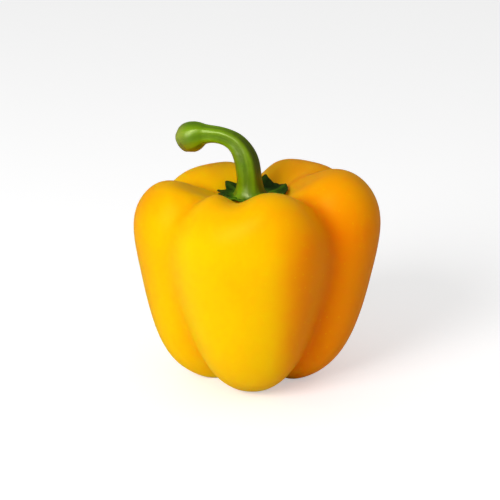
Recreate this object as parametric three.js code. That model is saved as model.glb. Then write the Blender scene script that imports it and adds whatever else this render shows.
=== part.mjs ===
// A whole bell pepper: a five-lobed pod, the toothed calyx in its basin and a hooked stalk.
// Millimetres, +Z up. The pod stands on its five lobe tips at z = 0, the front lobe towards -Y,
// and the origin is the middle of its footprint.
import * as THREE from 'three';

// ---------------------------------------------------------------------------------------------
// Driving dimensions
// ---------------------------------------------------------------------------------------------

const DEG = Math.PI / 180;

// The pod's own axis, from the middle of the footprint.
const POD_AXIS = new THREE.Vector3(-0.9, 2.3, 0);

// A meridian of the pod is a uniform cubic B-spline through these stations, from the seat of the
// stalk up over the shoulder and down the side to the dimple underneath. Each station gives
// [radius, height] on a lobe's ridge and in a furrow, then how much of a lobe's reach, lift,
// crest and tip, and of the front crest's unevenness, is felt there, and how round the furrow is.
const NONE = { reach: 0, lift: 0, crest: 0, tip: 0, notch: 0 };
const STATIONS = [
  { lobe: [0.0, 68.4], furrow: [0.0, 68.4], soft: 0.35 },
  { lobe: [8.0, 68.4], furrow: [8.0, 68.4], soft: 0.35 },
  { lobe: [14.3, 72.2], furrow: [13.4, 70.4], soft: 0.35, reach: 0.2, lift: 0.4, crest: 0.7, notch: 0.3 },
  { lobe: [21.5, 78.5], furrow: [19.3, 73.2], soft: 0.3, reach: 0.5, lift: 1, crest: 1, notch: 1 },
  { lobe: [30.3, 80.7], furrow: [25.5, 73.2], soft: 0.24, reach: 0.8, lift: 1, crest: 0.8, notch: 1 },
  { lobe: [39.2, 76.1], furrow: [32.6, 70.2], soft: 0.19, reach: 1, lift: 0.8, crest: 0.3, notch: 0.5 },
  { lobe: [45.6, 63.8], furrow: [39.6, 61.7], soft: 0.14, reach: 1, lift: 0.5, notch: 0.1 },
  { lobe: [42.1, 44.3], furrow: [36.8, 44.3], soft: 0.15, reach: 0.9, lift: 0.2, tip: 0.2 },
  { lobe: [38.3, 24.5], furrow: [29.8, 23.7], soft: 0.15, reach: 0.6, tip: 0.5 },
  { lobe: [30.9, 5.9], furrow: [22.0, 8.7], soft: 0.16, reach: 0.3, tip: 1 },
  { lobe: [12.5, -3.6], furrow: [12.6, 5.3], soft: 0.21, reach: 0.1, tip: 1 },
  { lobe: [5.0, 5.6], furrow: [5.0, 5.6], soft: 0.25 },
  { lobe: [0.0, 5.6], furrow: [0.0, 5.6], soft: 0.3 },
].map((station) => ({ ...NONE, ...station }));

// The five lobes, anticlockwise seen from above: azimuth of the ridge in degrees, then how far
// the lobe reaches out, rises, leans its crest outwards and spreads its tip, in millimetres, and
// how quickly it swells beside its furrows.
const LOBES = [
  { name: 'front', azimuth: -92, reach: -0.3, lift: 0.0, crest: 0.4, tip: -1.2, fullness: 2.7 },
  { name: 'right', azimuth: -8, reach: 1.2, lift: -0.2, crest: 0.5, tip: -1.1, fullness: 2.8 },
  { name: 'back_right', azimuth: 49, reach: 1.2, lift: -4.4, crest: -1.0, tip: 0.0, fullness: 4.8 },
  { name: 'back_left', azimuth: 117, reach: -3.4, lift: -4.5, crest: -2.5, tip: 0.0, fullness: 4.0 },
  { name: 'left', azimuth: 188, reach: -1.5, lift: -3.6, crest: 2.7, tip: 0.3, fullness: 2.9 },
];

// The furrow after each lobe: azimuth, reach and lift of its bottom.
const FURROWS = [
  { azimuth: -42, reach: -1.7, lift: -0.9 },
  { azimuth: 24, reach: 0.0, lift: 1.6 },
  { azimuth: 86, reach: -0.6, lift: -4.0 },
  { azimuth: 159.5, reach: 0.3, lift: -2.3 },
  { azimuth: 219.5, reach: -0.3, lift: -0.6 },
];

// The front lobe's crest has a shallow dip and, beside it, a low swelling.
const NOTCH = { azimuth: -105, width: 13.3, height: -4.1 };
const SWELLING = { azimuth: -129, width: 9, height: 2.0 };
const LEAN_HEIGHT = 40; // twist and lean are nil at this height and full this far above it
const TWIST = 2.4 * DEG;
const LEAN = [-0.3, -2.1];

// Calyx: a thin collar that hugs the basin. Its teeth are [azimuth, radius of the tip, lift of the tip].
const TEETH = [
  [-172, 12.8, 0.0], [-148, 12.2, 0.2], [-115, 11.0, 0.0], [-75, 11.2, 0.0],
  [-24, 12.2, 0.2], [24, 13.0, 0.0], [73.5, 15.8, 1.3], [139, 13.5, 0.0], [168, 13.4, 0.0],
];
const SCALLOP = { radius: 11.1, sway: 1.4, azimuth: 30 }; // the collar is wider towards this azimuth
const CALYX_GAP = 0.35; // clear of the skin below
const CALYX_CURL = 0.6; // how far the edge lifts off the skin
const CALYX_HUB = 1.3; // thickness around the stalk
const CALYX_RIM = 0.7; // thickness at the edge
const CALYX_PAD = 6.0; // radius of the level pad under the stalk

// Stalk: a path through these points beside the pod's axis, and its radius along the way.
const STALK_GAP = 0.3;
const STALK_PATH = [
  [-1.3, -1.5, 70.2], [-1.8, -1.4, 77.0], [-3.1, -0.5, 83.4], [-6.3, 0.7, 88.3],
  [-11.4, 2.0, 90.7], [-17.6, 4.0, 90.8], [-21.9, 5.6, 89.4], [-24.3, 6.8, 87.8],
];
const STALK_RADII = [
  [0.0, 5.6], [0.057, 5.0], [0.153, 4.45], [0.325, 4.25], [0.478, 3.6], [0.593, 3.1],
  [0.69, 3.0], [0.778, 3.35], [0.834, 4.35], [0.888, 5.2], [0.94, 5.5], [0.975, 5.2], [1.0, 4.5],
];
const STALK_END_DOME = 2.1; // how far the middle of the cut end stands out
const STALK_END_TURNS = [30, 55, 75]; // rings of the dome, in degrees round from its edge
const RIDGES = 5;
const RIDGE_DEPTH = 0.05; // share of the radius, less towards the swollen end
const RIDGE_TWIST = 60 * DEG; // turn of the ridges along the whole stalk

// How finely each skin is divided.
const COLUMNS_PER_LOBE = 14;
const ROWS_PER_SPAN = [3, 3, 3, 3, 3, 3, 3, 3, 4, 7, 6, 2];
const CALYX_COLUMNS = 72;
const CALYX_RINGS = [0.25, 0.5, 0.75, 0.92, 1.0];
const STALK_SIDES = 20;
const STALK_STEPS = 22;

// ---------------------------------------------------------------------------------------------
// Shared tools
// ---------------------------------------------------------------------------------------------

// A closed skin over a stack of rings of equal length, with a point at each end. The rings run
// from the start point to the end point, each anticlockwise seen from the start point's side.
function skin(start, rings, end) {
  const sides = rings[0].length;
  const positions = [start, ...rings.flat(), end].flatMap((p) => [p.x, p.y, p.z]);
  const at = (ring, side) => 1 + ring * sides + (side % sides);
  const last = 1 + rings.length * sides;
  const index = [];
  for (let side = 0; side < sides; side++) {
    index.push(0, at(0, side), at(0, side + 1));
    for (let ring = 0; ring + 1 < rings.length; ring++) {
      const [a, b] = [at(ring, side), at(ring, side + 1)];
      const [c, d] = [at(ring + 1, side), at(ring + 1, side + 1)];
      index.push(a, c, d, a, d, b);
    }
    index.push(last, at(rings.length - 1, side + 1), at(rings.length - 1, side));
  }
  const geometry = new THREE.BufferGeometry();
  geometry.setAttribute('position', new THREE.Float32BufferAttribute(positions, 3));
  geometry.setIndex(index);
  geometry.computeVertexNormals();
  return geometry;
}

// Evenly spaced shares of a whole, from 0 up to but not including 1.
function shares(count) {
  return Array.from({ length: count }, (_, i) => i / count);
}

// Smallest signed turn from one azimuth to another, in degrees.
function turn(from, to) {
  return THREE.MathUtils.euclideanModulo(to - from + 180, 360) - 180;
}

// Value of a smooth curve through [place, value] pairs.
function ease(pairs, place) {
  const i = Math.max(0, pairs.findLastIndex(([x]) => x <= place));
  const [x0, y0] = pairs[i];
  const [x1, y1] = pairs[Math.min(i + 1, pairs.length - 1)];
  return y0 + (y1 - y0) * THREE.MathUtils.smoothstep(place, x0, x1);
}

function namedMesh(name, geometry, color, roughness) {
  const material = new THREE.MeshStandardMaterial({ color, roughness, metalness: 0 });
  const mesh = new THREE.Mesh(geometry, material);
  mesh.name = name;
  return mesh;
}

// ---------------------------------------------------------------------------------------------
// Pod
// ---------------------------------------------------------------------------------------------

// The lobe that holds an azimuth, the furrow on that side of its ridge, and how far the azimuth
// is from the furrow (0) to the ridge (1).
function lobeAt(azimuth) {
  for (let k = 0; k < LOBES.length; k++) {
    const before = FURROWS[(k + FURROWS.length - 1) % FURROWS.length];
    const after = FURROWS[k];
    const fromRidge = turn(LOBES[k].azimuth, azimuth);
    const low = turn(LOBES[k].azimuth, before.azimuth);
    const high = turn(LOBES[k].azimuth, after.azimuth);
    if (fromRidge >= low && fromRidge < 0) {
      return { lobe: LOBES[k], furrow: before, rise: 1 - fromRidge / low };
    }
    if (fromRidge >= 0 && fromRidge <= high) {
      return { lobe: LOBES[k], furrow: after, rise: 1 - fromRidge / high };
    }
  }
  throw new Error(`no lobe at ${azimuth}`);
}

// Control points of the meridian at an azimuth.
function meridian(azimuth) {
  const { lobe, furrow, rise } = lobeAt(azimuth);
  const uneven = [NOTCH, SWELLING].map((u) => u.height * Math.exp(-((turn(u.azimuth, azimuth) / u.width) ** 2)));
  return STATIONS.map((s) => {
    const outward = lobe.reach * s.reach + lobe.tip * s.tip + lobe.crest * s.crest;
    const ridge = [s.lobe[0] + outward, s.lobe[1] + lobe.lift * s.lift];
    const valley = [s.furrow[0] + furrow.reach * s.reach, s.furrow[1] + furrow.lift * s.lift];
    const rounded = (Math.hypot(rise, s.soft) - s.soft) / (Math.hypot(1, s.soft) - s.soft);
    const swell = 1 - (1 - rounded) ** lobe.fullness;
    return new THREE.Vector2(
      THREE.MathUtils.lerp(valley[0], ridge[0], swell),
      THREE.MathUtils.lerp(valley[1], ridge[1], swell) + (uneven[0] + uneven[1]) * s.notch,
    );
  });
}

// Point of a uniform cubic B-spline whose ends are mirrored in the axis.
function splinePoint(points, t) {
  const mirrored = (p) => new THREE.Vector2(-p.x, p.y);
  const all = [mirrored(points[1]), ...points, mirrored(points.at(-2))];
  const span = Math.min(Math.floor(t), points.length - 2);
  const u = t - span;
  const weights = [(1 - u) ** 3, 3 * u ** 3 - 6 * u ** 2 + 4, -3 * u ** 3 + 3 * u ** 2 + 3 * u + 1, u ** 3];
  const point = new THREE.Vector2();
  weights.forEach((w, i) => point.addScaledVector(all[span + i], w / 6));
  return point;
}

// A point of [radius, height] at an azimuth, with the pod's slight twist and lean.
function place(azimuth, radius, height) {
  const above = (height - LEAN_HEIGHT) / LEAN_HEIGHT;
  const angle = azimuth * DEG + TWIST * above;
  return new THREE.Vector3(
    radius * Math.cos(angle) + LEAN[0] * above,
    radius * Math.sin(angle) + LEAN[1] * above,
    height,
  );
}

// Grid lines along every furrow, and evenly across every lobe.
function podAzimuths() {
  return FURROWS.flatMap((furrow, k) => {
    const next = FURROWS[(k + 1) % FURROWS.length];
    const width = THREE.MathUtils.euclideanModulo(next.azimuth - furrow.azimuth, 360);
    return shares(COLUMNS_PER_LOBE).map((share) => furrow.azimuth + width * share);
  });
}

function podGeometry() {
  const meridians = podAzimuths().map((azimuth) => ({ azimuth, points: meridian(azimuth) }));
  const steps = ROWS_PER_SPAN.flatMap((rows, span) => shares(rows).map((share) => span + share));
  // The lobe tips end in small flat spots on the ground.
  const ring = (t) => meridians.map(({ azimuth, points }) => {
    const p = splinePoint(points, t);
    return place(azimuth, p.x, Math.max(p.y, 0));
  });
  const seat = place(0, 0, STATIONS[0].lobe[1]);
  const dimple = place(0, 0, STATIONS.at(-1).lobe[1]);
  return skin(seat, steps.slice(1).map(ring), dimple);
}

// Height of the basin's floor and wall at an azimuth and radius.
function basinHeight(azimuth, radius) {
  const points = meridian(azimuth);
  let [low, high] = [0, 4];
  for (let i = 0; i < 30; i++) {
    const middle = (low + high) / 2;
    if (splinePoint(points, middle).x < radius) low = middle;
    else high = middle;
  }
  return splinePoint(points, low).y;
}

// ---------------------------------------------------------------------------------------------
// Calyx
// ---------------------------------------------------------------------------------------------

// Radius of the edge midway between two teeth.
function scallopRadius(azimuth) {
  return SCALLOP.radius + SCALLOP.sway * Math.cos((azimuth - SCALLOP.azimuth) * DEG);
}

// Radius of the edge, and the lift that its teeth give it: pointed teeth with round scallops between.
function calyxEdge(azimuth) {
  const offsets = TEETH.map(([tooth, radius, lift]) => ({ away: turn(tooth, azimuth), radius, lift }));
  const after = offsets.filter((o) => o.away >= 0).sort((a, b) => a.away - b.away)[0];
  const before = offsets.filter((o) => o.away < 0).sort((a, b) => b.away - a.away)[0];
  const share = after.away / (after.away - before.away);
  const between = (key) => THREE.MathUtils.lerp(after[key], before[key], share);
  const toothed = Math.abs(2 * share - 1) ** 2.6;
  const scallop = scallopRadius(azimuth);
  return { radius: scallop + (between('radius') - scallop) * toothed, lift: between('lift') * toothed };
}

const PAD_HEIGHT = STATIONS[0].lobe[1] + CALYX_GAP + CALYX_HUB;

function calyxGeometry() {
  const azimuths = shares(CALYX_COLUMNS).map((share) => 360 * share - 180);
  const ring = (share, top) => azimuths.map((azimuth) => {
    const edge = calyxEdge(azimuth);
    const radius = edge.radius * share;
    const under = basinHeight(azimuth, radius) + CALYX_GAP + (CALYX_CURL + edge.lift) * share ** 4;
    const thickness = THREE.MathUtils.lerp(CALYX_HUB, CALYX_RIM, THREE.MathUtils.smoothstep(share, 0.3, 1));
    const over = radius < CALYX_PAD ? PAD_HEIGHT : under + thickness;
    return place(azimuth, radius, top ? over : under);
  });
  const upper = CALYX_RINGS.map((share) => ring(share, true));
  const lower = CALYX_RINGS.map((share) => ring(share, false)).reverse();
  return skin(place(0, 0, PAD_HEIGHT), [...upper, ...lower], place(0, 0, PAD_HEIGHT - CALYX_HUB));
}

// ---------------------------------------------------------------------------------------------
// Stalk
// ---------------------------------------------------------------------------------------------

function stalkGeometry() {
  const points = STALK_PATH.map((p) => new THREE.Vector3(...p));
  points[0].z = PAD_HEIGHT + STALK_GAP;
  const path = new THREE.CatmullRomCurve3(points, false, 'centripetal');
  const frames = path.computeFrenetFrames(STALK_STEPS);
  const rings = [];
  const addRing = (step, inward, ahead) => {
    const along = step / STALK_STEPS;
    const centre = path.getPointAt(along).addScaledVector(path.getTangentAt(along), ahead);
    // The foot is level, so that it lies on the calyx's pad.
    const tilt = THREE.MathUtils.smoothstep(along, 0, 0.1);
    const flatten = (v) => new THREE.Vector3(v.x, v.y, v.z * tilt);
    const across = flatten(frames.normals[step]);
    const upright = flatten(frames.binormals[step]);
    const radius = ease(STALK_RADII, along) * inward;
    const depth = RIDGE_DEPTH * (1 - 0.8 * THREE.MathUtils.smoothstep(along, 0.7, 0.9));
    rings.push(shares(STALK_SIDES).map((share) => {
      const angle = 2 * Math.PI * share;
      const r = radius * (1 + depth * Math.cos(RIDGES * angle + RIDGE_TWIST * along));
      const point = centre.clone().addScaledVector(across, r * Math.cos(angle));
      return point.addScaledVector(upright, r * Math.sin(angle));
    }));
  };
  for (let step = 0; step <= STALK_STEPS; step++) addRing(step, 1, 0);
  STALK_END_TURNS.map((degrees) => degrees * DEG).forEach((angle) => {
    addRing(STALK_STEPS, Math.cos(angle), STALK_END_DOME * Math.sin(angle));
  });
  const end = path.getPointAt(1).addScaledVector(path.getTangentAt(1), STALK_END_DOME);
  return skin(end, rings.reverse(), points[0]);
}

// ---------------------------------------------------------------------------------------------
// The bell pepper
// ---------------------------------------------------------------------------------------------

const pepper = new THREE.Group();
pepper.position.copy(POD_AXIS);
pepper.add(
  namedMesh('fruit', podGeometry(), '#fcc800', 0.25),
  namedMesh('calyx', calyxGeometry(), '#3c6410', 0.6),
  namedMesh('stem', stalkGeometry(), '#6ea00a', 0.45),
);

export default pepper;
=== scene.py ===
"""A yellow bell pepper on a pale floor: a five-lobed pod, its toothed calyx and its hooked stalk.

Sizes are in millimetres and angles in degrees wherever a dataclass holds them, and in metres and
radians once they reach a mesh, a node tree or the scene.
"""

import logging
import math
from dataclasses import dataclass
from enum import Enum
from typing import Iterable, Optional, Sequence, Union

import bpy
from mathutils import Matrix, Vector


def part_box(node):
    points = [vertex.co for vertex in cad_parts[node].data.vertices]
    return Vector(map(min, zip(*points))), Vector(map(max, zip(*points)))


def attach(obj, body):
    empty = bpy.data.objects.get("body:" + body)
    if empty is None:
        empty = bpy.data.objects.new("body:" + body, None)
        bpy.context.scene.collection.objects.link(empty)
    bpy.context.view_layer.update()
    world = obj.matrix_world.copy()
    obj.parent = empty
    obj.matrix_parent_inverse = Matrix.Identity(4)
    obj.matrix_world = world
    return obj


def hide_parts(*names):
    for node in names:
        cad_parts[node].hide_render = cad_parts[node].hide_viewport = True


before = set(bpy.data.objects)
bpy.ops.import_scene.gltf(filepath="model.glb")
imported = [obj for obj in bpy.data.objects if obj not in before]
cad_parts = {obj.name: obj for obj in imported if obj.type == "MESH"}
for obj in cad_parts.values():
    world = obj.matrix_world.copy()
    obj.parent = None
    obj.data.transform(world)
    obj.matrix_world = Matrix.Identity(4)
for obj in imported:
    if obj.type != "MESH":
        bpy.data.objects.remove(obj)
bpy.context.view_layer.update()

LOG = logging.getLogger("bell_pepper")
MM = 0.001
ROOT = "root"

Colour = tuple[float, float, float]
Pair = tuple[float, float]
BLACK: Colour = (0.0, 0.0, 0.0)
WHITE: Colour = (1.0, 1.0, 1.0)


# ----------------------------------------------------------------------------------------------
# Node trees, written as formulas
# ----------------------------------------------------------------------------------------------


def plug(tree: bpy.types.NodeTree, socket: bpy.types.NodeSocket, value: "Value") -> None:
    """Links a value into a socket, or sets it there when it is a plain number, vector or object.

    Args:
        tree: the tree that holds the socket.
        socket: an input socket.
        value: a field, an output socket, a number, a tuple, a string or a data-block.
    """
    if isinstance(value, Field):
        tree.links.new(value.socket, socket)
    elif isinstance(value, bpy.types.NodeSocket):
        tree.links.new(value, socket)
    else:
        socket.default_value = value


class Field:
    """A number that flows through a node tree, and that formulas can combine."""

    def __init__(self, tree: bpy.types.NodeTree, socket: bpy.types.NodeSocket) -> None:
        """Wraps an output socket of a tree."""
        self.tree = tree
        self.socket = socket

    def math(self, operation: str, *others: "Value") -> "Field":
        """Applies a math node to this field.

        Args:
            operation: the node's operation, such as "MULTIPLY".
            others: its further inputs.

        Returns:
            The result as a field.
        """
        return calculate(self.tree, operation, self, *others)

    def __add__(self, other: "Value") -> "Field":
        """Sum."""
        return self.math("ADD", other)

    __radd__ = __add__

    def __mul__(self, other: "Value") -> "Field":
        """Product."""
        return self.math("MULTIPLY", other)

    __rmul__ = __mul__

    def __sub__(self, other: "Value") -> "Field":
        """Difference."""
        return self.math("SUBTRACT", other)

    def __rsub__(self, other: "Value") -> "Field":
        """Difference from a plain number."""
        return calculate(self.tree, "SUBTRACT", other, self)

    def __truediv__(self, other: "Value") -> "Field":
        """Quotient."""
        return self.math("DIVIDE", other)

    def __pow__(self, other: "Value") -> "Field":
        """Power."""
        return self.math("POWER", other)

    def ramp(self, low: "Value", high: "Value") -> "Field":
        """Smooth step from 0 at the low value to 1 at the high one.

        Args:
            low: where the step starts.
            high: where it ends; it may be the smaller of the two.

        Returns:
            The step as a field.
        """
        node = self.tree.nodes.new("ShaderNodeMapRange")
        node.interpolation_type = "SMOOTHSTEP"
        for socket, value in zip(node.inputs, (self, low, high, 0.0, 1.0)):
            plug(self.tree, socket, value)
        return Field(self.tree, node.outputs[0])


Value = Union[Field, bpy.types.NodeSocket, bpy.types.ID, float, int, str, tuple]


def calculate(tree: bpy.types.NodeTree, operation: str, *values: Value) -> Field:
    """Adds one math node.

    Args:
        tree: the tree to add to.
        operation: the node's operation.
        values: its inputs, in order.

    Returns:
        Its result.
    """
    node = tree.nodes.new("ShaderNodeMath")
    node.operation = operation
    for socket, value in zip(node.inputs, values):
        plug(tree, socket, value)
    return Field(tree, node.outputs[0])


class Tree:
    """A node tree under construction, of any kind."""

    def __init__(self, tree: bpy.types.NodeTree) -> None:
        """Takes the tree that nodes are added to."""
        self.tree = tree

    def add(self, kind: str, inputs: Optional[dict] = None, **settings: object) -> bpy.types.Node:
        """Adds a node.

        Args:
            kind: the node's type name.
            inputs: values for its input sockets, by name or index.
            settings: the node's own properties, which are set first.

        Returns:
            The new node.
        """
        node = self.tree.nodes.new(kind)
        for name, value in settings.items():
            setattr(node, name, value)
        for key, value in (inputs or {}).items():
            plug(self.tree, node.inputs[key], value)
        return node

    def field(self, kind: str, inputs: Optional[dict] = None, output: Union[int, str] = 0,
              **settings: object) -> Field:
        """Adds a node and gives one of its outputs as a field.

        Args:
            kind: the node's type name.
            inputs: values for its input sockets.
            output: the output's name or index.
            settings: the node's own properties.

        Returns:
            The output as a field.
        """
        return Field(self.tree, self.add(kind, inputs, **settings).outputs[output])

    def socket(self, name: str, kind: str, default: object = None, out: bool = False) -> None:
        """Adds a socket to the tree's own interface.

        Args:
            name: its name.
            kind: its type, without the NodeSocket prefix.
            default: its default value.
            out: True for an output.
        """
        direction = "OUTPUT" if out else "INPUT"
        made = self.tree.interface.new_socket(name, in_out=direction, socket_type="NodeSocket" + kind)
        if default is not None:
            made.default_value = default

    def vector(self, x: Value, y: Value, z: Value) -> bpy.types.NodeSocket:
        """Joins three numbers into a vector."""
        return self.add("ShaderNodeCombineXYZ", {0: x, 1: y, 2: z}).outputs[0]

    def parts(self, vector: Value) -> list[Field]:
        """Splits a vector into its three numbers."""
        node = self.add("ShaderNodeSeparateXYZ", {0: vector})
        return [Field(self.tree, output) for output in node.outputs]

    def vector_math(self, operation: str, *values: Value) -> bpy.types.Node:
        """Adds one vector math node."""
        return self.add("ShaderNodeVectorMath", dict(enumerate(values)), operation=operation)

    def scaled(self, vector: Value, factor: Value) -> bpy.types.NodeSocket:
        """Multiplies a vector by a number."""
        return self.add("ShaderNodeVectorMath", {0: vector, 3: factor}, operation="SCALE").outputs[0]

    def blend(self, share: Value, first: Value, second: Value) -> bpy.types.NodeSocket:
        """Mixes two colours.

        Args:
            share: how much of the second colour shows, from 0 to 1.
            first: the colour at 0.
            second: the colour at 1.

        Returns:
            The mixed colour.
        """
        colours = [(*c, 1.0) if isinstance(c, tuple) else c for c in (first, second)]
        node = self.add("ShaderNodeMix", {0: share, 6: colours[0], 7: colours[1]}, data_type="RGBA")
        return node.outputs[2]

    def noise(self, place: Value, scale: Value, detail: float = 2.0, seed: float = 0.0) -> Field:
        """Smooth noise from 0 to 1, about 0.5 on average.

        Args:
            place: the position that it is read at.
            scale: how many features fit in a metre.
            detail: how many finer layers it has.
            seed: picks one of its patterns.

        Returns:
            The noise as a field.
        """
        inputs = {"Vector": place, "W": seed, "Scale": scale, "Detail": detail}
        return self.field("ShaderNodeTexNoise", inputs, noise_dimensions="4D")


class GeometryTree(Tree):
    """A Geometry Nodes tree with named inputs, one mesh in and one mesh out."""

    def __init__(self, name: str, sizes: dict[str, object], objects: Sequence[str] = ()) -> None:
        """Makes the tree and its interface.

        Args:
            name: the tree's name.
            sizes: named inputs with their default values: floats, ints or vectors.
            objects: names of further inputs that take an object.
        """
        super().__init__(bpy.data.node_groups.new(name, "GeometryNodeTree"))
        self.tree.is_modifier = True
        self.socket("Cage", "Geometry")
        self.socket("Shape", "Geometry", out=True)
        for label, value in sizes.items():
            kind = {float: "Float", int: "Int", tuple: "Vector"}[type(value)]
            self.socket(label, kind, value)
        for label in objects:
            self.socket(label, "Object")
        self.entry = self.tree.nodes.new("NodeGroupInput")
        self.exit = self.tree.nodes.new("NodeGroupOutput")

    def size(self, label: str) -> Field:
        """One of the tree's named inputs."""
        return Field(self.tree, self.entry.outputs[label])

    def named(self, name: str, kind: str = "FLOAT") -> Field:
        """Reads an attribute of the mesh by its name."""
        return self.field("GeometryNodeInputNamedAttribute", {"Name": name}, data_type=kind)

    def geometry_of(self, label: str) -> bpy.types.NodeSocket:
        """The geometry of an object that is one of the tree's inputs."""
        node = self.add("GeometryNodeObjectInfo", {"Object": self.entry.outputs[label]})
        return node.outputs["Geometry"]

    def store(self, geometry: Value, name: str, value: Field) -> bpy.types.NodeSocket:
        """Writes a number on every point, for the materials to read."""
        inputs = {"Geometry": geometry, "Name": name, "Value": value}
        return self.add("GeometryNodeStoreNamedAttribute", inputs, data_type="FLOAT").outputs[0]

    def moved(self, geometry: Value, position: Optional[Value] = None,
              offset: Optional[Value] = None) -> bpy.types.NodeSocket:
        """Moves every point to a place, or by an offset."""
        inputs = {"Geometry": geometry, "Position": position, "Offset": offset}
        inputs = {key: value for key, value in inputs.items() if value is not None}
        return self.add("GeometryNodeSetPosition", inputs).outputs[0]

    def smoothed(self, geometry: Value, level: Value) -> bpy.types.NodeSocket:
        """Subdivides a mesh smoothly."""
        return self.add("GeometryNodeSubdivisionSurface", {"Mesh": geometry, "Level": level}).outputs[0]

    def finish(self, geometry: Value, material: bpy.types.Material) -> bpy.types.NodeTree:
        """Ends the tree: smooth faces, one plain mesh, one material.

        Args:
            geometry: the finished shape.
            material: the material of all its faces.

        Returns:
            The tree.
        """
        smooth = self.add("GeometryNodeSetShadeSmooth", {"Geometry": geometry}).outputs[0]
        plain = self.add("GeometryNodeRealizeInstances", {"Geometry": smooth}).outputs[0]
        dressed = self.add("GeometryNodeSetMaterial", {"Geometry": plain, "Material": material})
        self.tree.links.new(dressed.outputs[0], self.exit.inputs[0])
        return self.tree


# ----------------------------------------------------------------------------------------------
# Meshes
# ----------------------------------------------------------------------------------------------


def ring_cage(name: str, columns: int, rings: int) -> bpy.types.Object:
    """Makes a closed skin of rings with a pole at each end, whose points have no place yet.

    Args:
        name: the object's name.
        columns: points in a ring.
        rings: how many rings lie between the poles.

    Returns:
        An object with 2 + columns * rings points: pole, rings in order, pole.
    """
    last = 1 + rings * columns
    faces = []
    for column in range(columns):
        after = (column + 1) % columns
        faces.append((0, 1 + column, 1 + after))
        for ring in range(rings - 1):
            start, below = 1 + ring * columns, 1 + (ring + 1) * columns
            faces.append((start + column, below + column, below + after, start + after))
        faces.append((last, last - columns + after, last - columns + column))
    mesh = bpy.data.meshes.new(name)
    mesh.from_pydata([(0.0, 0.0, 0.0)] * (last + 1), [], faces)
    cage = bpy.data.objects.new(name, mesh)
    bpy.context.scene.collection.objects.link(cage)
    return cage


def write_numbers(cage: bpy.types.Object, name: str, values: Iterable[float]) -> None:
    """Stores a number on each point of a mesh under a name."""
    cage.data.attributes.new(name, "FLOAT", "POINT").data.foreach_set("value", list(values))


def write_vectors(cage: bpy.types.Object, name: str, values: Iterable[Sequence[float]]) -> None:
    """Stores a vector on each point of a mesh under a name."""
    flat = [number for value in values for number in value]
    cage.data.attributes.new(name, "FLOAT_VECTOR", "POINT").data.foreach_set("vector", flat)


def grow(cage: bpy.types.Object, tree: bpy.types.NodeTree, sizes: dict[str, object]) -> bpy.types.Object:
    """Runs a geometry tree on a cage and keeps the result as a plain mesh.

    Args:
        cage: the object to shape; it becomes the finished piece.
        tree: the geometry tree.
        sizes: values for the tree's named inputs.

    Returns:
        The same object, with no modifier left.
    """
    modifier = cage.modifiers.new(tree.name, "NODES")
    modifier.node_group = tree
    for item in tree.interface.items_tree:
        if item.in_out == "INPUT" and item.name in sizes:
            modifier[item.identifier] = sizes[item.name]
    depsgraph = bpy.context.evaluated_depsgraph_get()
    shaped = cage.evaluated_get(depsgraph)
    mesh = bpy.data.meshes.new_from_object(shaped, preserve_all_data_layers=True, depsgraph=depsgraph)
    cage.modifiers.clear()
    cage.data, used = mesh, cage.data
    bpy.data.meshes.remove(used)
    mesh.name = cage.name
    return cage


def discard(*helpers: bpy.types.Object) -> None:
    """Removes helper objects that aren't part of the pepper."""
    for helper in helpers:
        bpy.data.objects.remove(helper)


def hand_in(piece: bpy.types.Object, node: str) -> None:
    """Puts a finished piece in place of its node and reports it.

    Args:
        piece: the finished object.
        node: the frame's node that it stands for.
    """
    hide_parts(node)
    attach(piece, ROOT)
    low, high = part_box(node)
    reach = max((high - low) - Vector(piece.dimensions), key=abs)
    faces = len(piece.data.polygons)
    LOG.info("%s: %d faces, differs %.2f mm from its node", piece.name, faces, reach / MM)


# ----------------------------------------------------------------------------------------------
# Finishes
# ----------------------------------------------------------------------------------------------


def linear(red: int, green: int, blue: int) -> Colour:
    """Turns a display colour of three numbers from 0 to 255 into scene-linear numbers."""
    shares = (number / 255 for number in (red, green, blue))
    return tuple(s / 12.92 if s <= 0.04045 else ((s + 0.055) / 1.055) ** 2.4 for s in shares)


class Effect(Enum):
    """Shared shader groups."""

    MOTTLE = "mottle"
    GRAIN = "grain"


def mottle_group() -> bpy.types.NodeTree:
    """Soft irregular patches, for colour that varies over a natural surface.

    Returns:
        A shader group that takes a place, a patch count per metre, a seed and a sharpness, and
        puts out a mask.
    """
    group = Tree(bpy.data.node_groups.new(Effect.MOTTLE.value, "ShaderNodeTree"))
    group.socket("Place", "Vector")
    group.socket("Scale", "Float", 60.0)
    group.socket("Seed", "Float", 0.0)
    group.socket("Sharpness", "Float", 2.0)
    group.socket("Mask", "Float", out=True)
    entry = group.add("NodeGroupInput")
    patches = group.noise(entry.outputs["Place"], entry.outputs["Scale"], 3.0, entry.outputs["Seed"])
    sharper = (patches - 0.5) * Field(group.tree, entry.outputs["Sharpness"]) + 0.5
    clipped = sharper.math("MAXIMUM", 0.0).math("MINIMUM", 1.0)
    group.add("NodeGroupOutput", {"Mask": clipped})
    return group.tree


def grain_group() -> bpy.types.NodeTree:
    """Fine relief of a plant's skin: shallow waves with a much finer grain on them.

    Returns:
        A shader group that takes a place, the waves' count per metre and the grain's share, and
        puts out a height.
    """
    group = Tree(bpy.data.node_groups.new(Effect.GRAIN.value, "ShaderNodeTree"))
    group.socket("Place", "Vector")
    group.socket("Waves", "Float", 200.0)
    group.socket("Grain Share", "Float", 0.2)
    group.socket("Height", "Float", out=True)
    entry = group.add("NodeGroupInput")
    waves = Field(group.tree, entry.outputs["Waves"])
    broad = group.noise(entry.outputs["Place"], waves, 1.0, 3.0)
    fine = group.noise(entry.outputs["Place"], waves * 9.0, 2.0, 5.0)
    share = Field(group.tree, entry.outputs["Grain Share"])
    height = broad * (1.0 - share) + fine * share
    group.add("NodeGroupOutput", {"Height": height})
    return group.tree


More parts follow.
